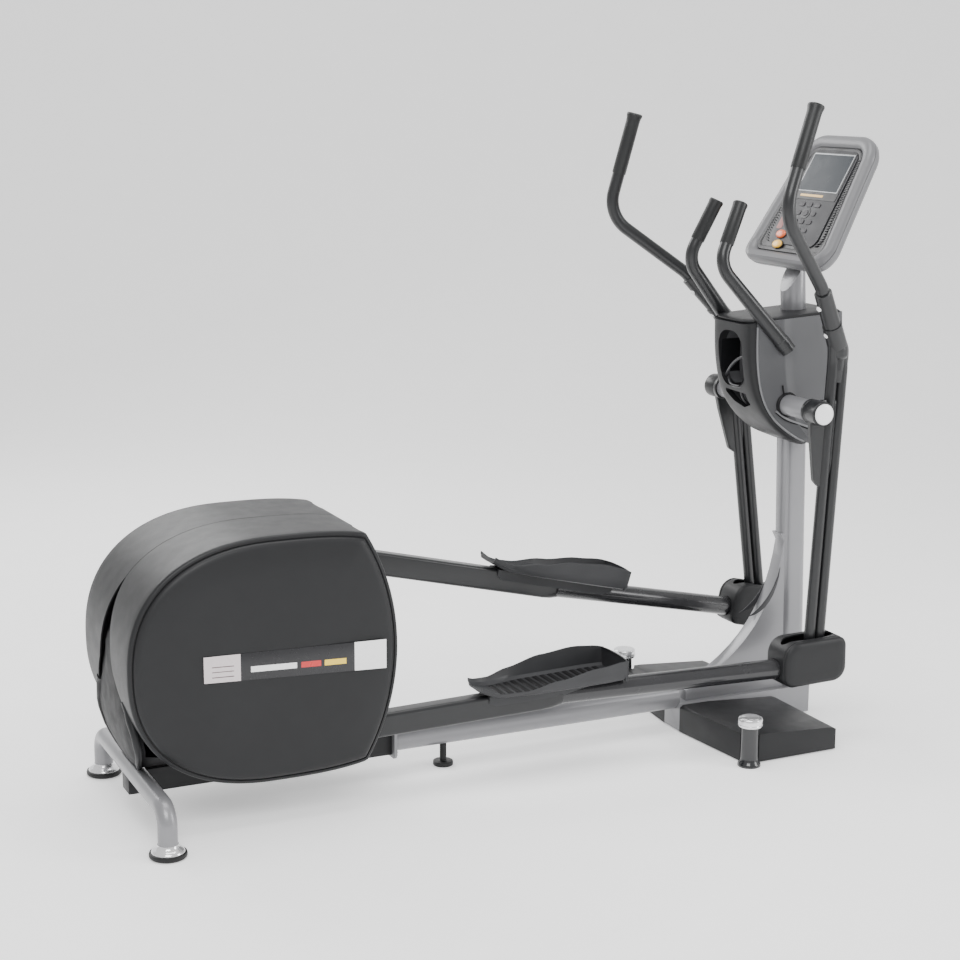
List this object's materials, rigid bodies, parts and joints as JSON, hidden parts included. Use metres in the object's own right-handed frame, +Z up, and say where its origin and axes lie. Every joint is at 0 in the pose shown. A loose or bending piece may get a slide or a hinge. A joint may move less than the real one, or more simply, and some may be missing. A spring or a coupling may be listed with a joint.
{
  "type": "elliptical trainer",
  "caption": "Rear-drive elliptical trainer: oval drive housing, paired pedal arms with foot trays, swing handlebars, mast with shroud and tilted console.",
  "frame": {"origin": "on the floor, centre of the underside of the middle levelling foot", "axes": "+X forward, the way the user faces; +Y to the user's left; +Z up"},
  "size_m": [2.1523, 0.7598, 1.7353],
  "materials": {
    "frame_silver": "semi-gloss metallic",
    "bright_metal": "polished",
    "foot_rubber": "matte",
    "leveller_black": "glossy",
    "cover_dark": "satin fine grain",
    "shroud_grey": "satin",
    "inlay_dark": "satin",
    "liner_black": "matte",
    "arm_paint": "satin",
    "grip_rubber": "matte grip",
    "console_silver": "metallic satin",
    "console_black": "satin",
    "screen_glass": "glossy",
    "key_grey": "matte",
    "start_orange": "glossy",
    "stop_yellow": "glossy",
    "label_print": "printed film",
    "drive_paint": "powder coat",
    "machined_steel": "machined",
    "flywheel_iron": "turned",
    "pulley_plastic": "matte",
    "belt_rubber": "matte",
    "bush_bronze": "sintered",
    "pedal_plastic": "moulded grain"
  },
  "bodies": {
    "frame": {"main_rail": "frame_silver", "rear_rail": "frame_silver", "rear_stabiliser": "frame_silver", "rear_feet": "foot_rubber", "foot_collars": "bright_metal", "mid_foot": "foot_rubber", "front_beam": "frame_silver", "base_cover_right": "cover_dark", "base_cover_left": "cover_dark", "levellers": "leveller_black", "leveller_caps": "bright_metal", "mast": "frame_silver", "mast_inlays": "inlay_dark", "console_post": "frame_silver", "pivot_axle": "frame_silver", "axle_caps": "bright_metal", "shroud": "shroud_grey", "shroud_back": "cover_dark", "bottle_holder": "liner_black", "fixed_handlebar": "arm_paint", "fixed_grips": "grip_rubber", "console_shell": "console_silver", "console_bezel": "console_black", "console_screen": "screen_glass", "keypad": "key_grey", "housing_right": "cover_dark", "housing_left": "cover_dark", "housing_liner": "liner_black", "label_plates": "label_print", "drive_frame": "drive_paint", "crank_bearings": "machined_steel", "brake": "drive_paint", "belt": "belt_rubber"},
    "crank": {"crank_axle": "machined_steel", "crank_arms": "drive_paint", "crank_pins": "machined_steel", "drive_pulley": "pulley_plastic"},
    "flywheel_unit": {"flywheel": "flywheel_iron", "flywheel_shaft": "machined_steel"},
    "idler": {"idler_pulley": "machined_steel"},
    "start_key": {"start_button": "start_orange"},
    "stop_key": {"stop_button": "stop_yellow"},
    "swing_right": {"swing_arm_right": "arm_paint", "handlebar_right": "arm_paint", "grip_right": "grip_rubber", "arm_bolts_right": "bright_metal", "hub_bush_right": "bush_bronze"},
    "link_right": {"link_pin_right": "machined_steel"},
    "pedal_unit_right": {"pedal_arm_right": "arm_paint", "pedal_right": "pedal_plastic", "boot_right": "cover_dark"},
    "swing_left": {"swing_arm_left": "arm_paint", "handlebar_left": "arm_paint", "grip_left": "grip_rubber", "arm_bolts_left": "bright_metal", "hub_bush_left": "bush_bronze"},
    "link_left": {"link_pin_left": "machined_steel"},
    "pedal_unit_left": {"pedal_arm_left": "arm_paint", "pedal_left": "pedal_plastic", "boot_left": "cover_dark"}
  },
  "joints": [
    {"name": "swing_right", "type": "hinge", "parent": "frame", "child": "swing_right", "pos_m": [0.981, -0.2405, 0.921], "axis": [0, -1, 0], "range_deg": [-12, 22]},
    {"name": "swing_left", "type": "hinge", "parent": "frame", "child": "swing_left", "pos_m": [0.981, 0.2405, 0.921], "axis": [0, -1, 0], "range_deg": [-22, 12]},
    {"name": "link_pin_right", "type": "hinge", "parent": "swing_right", "child": "link_right", "pos_m": [1.00347, -0.234, 0.22072], "axis": [0, -1, 0], "range_deg": [-22, 12]},
    {"name": "link_pin_left", "type": "hinge", "parent": "swing_left", "child": "link_left", "pos_m": [1.13096, 0.234, 0.23659], "axis": [0, -1, 0], "range_deg": [-12, 22]},
    {"name": "pedal_lift_right", "type": "hinge", "parent": "link_right", "child": "pedal_unit_right", "pos_m": [1.00347, -0.234, 0.22072], "axis": [0, -1, 0], "range_deg": [-15, 0.5]},
    {"name": "pedal_lift_left", "type": "hinge", "parent": "link_left", "child": "pedal_unit_left", "pos_m": [1.13096, 0.234, 0.23659], "axis": [0, -1, 0], "range_deg": [-0.5, 15]},
    {"name": "crank_spin", "type": "hinge", "parent": "frame", "child": "crank", "pos_m": [-0.574, 0, 0.403], "axis": [0, -1, 0], "continuous": true},
    {"name": "flywheel_spin", "type": "hinge", "parent": "frame", "child": "flywheel_unit", "pos_m": [-0.376, 0, 0.262], "axis": [0, -1, 0], "continuous": true},
    {"name": "idler_spin", "type": "hinge", "parent": "frame", "child": "idler", "pos_m": [-0.48771, 0, 0.22827], "axis": [0, -1, 0], "continuous": true},
    {"name": "start_press", "type": "slide", "parent": "frame", "child": "start_key", "axis": [0.866, 0, -0.5], "range_m": [0, 0.0015], "stiffness_N_per_m": 800},
    {"name": "stop_press", "type": "slide", "parent": "frame", "child": "stop_key", "axis": [0.866, 0, -0.5], "range_m": [0, 0.0015], "stiffness_N_per_m": 800}
  ],
  "couplings": [
    {"joint": "swing_left", "follows": "swing_right", "ratio": -1},
    {"joint": "link_pin_right", "follows": "swing_right", "ratio": -1},
    {"joint": "link_pin_left", "follows": "swing_right", "ratio": 1},
    {"joint": "pedal_lift_left", "follows": "pedal_lift_right", "ratio": -1},
    {"joint": "flywheel_spin", "follows": "crank_spin", "ratio": 5.8333},
    {"joint": "idler_spin", "follows": "crank_spin", "ratio": -8}
  ]
}
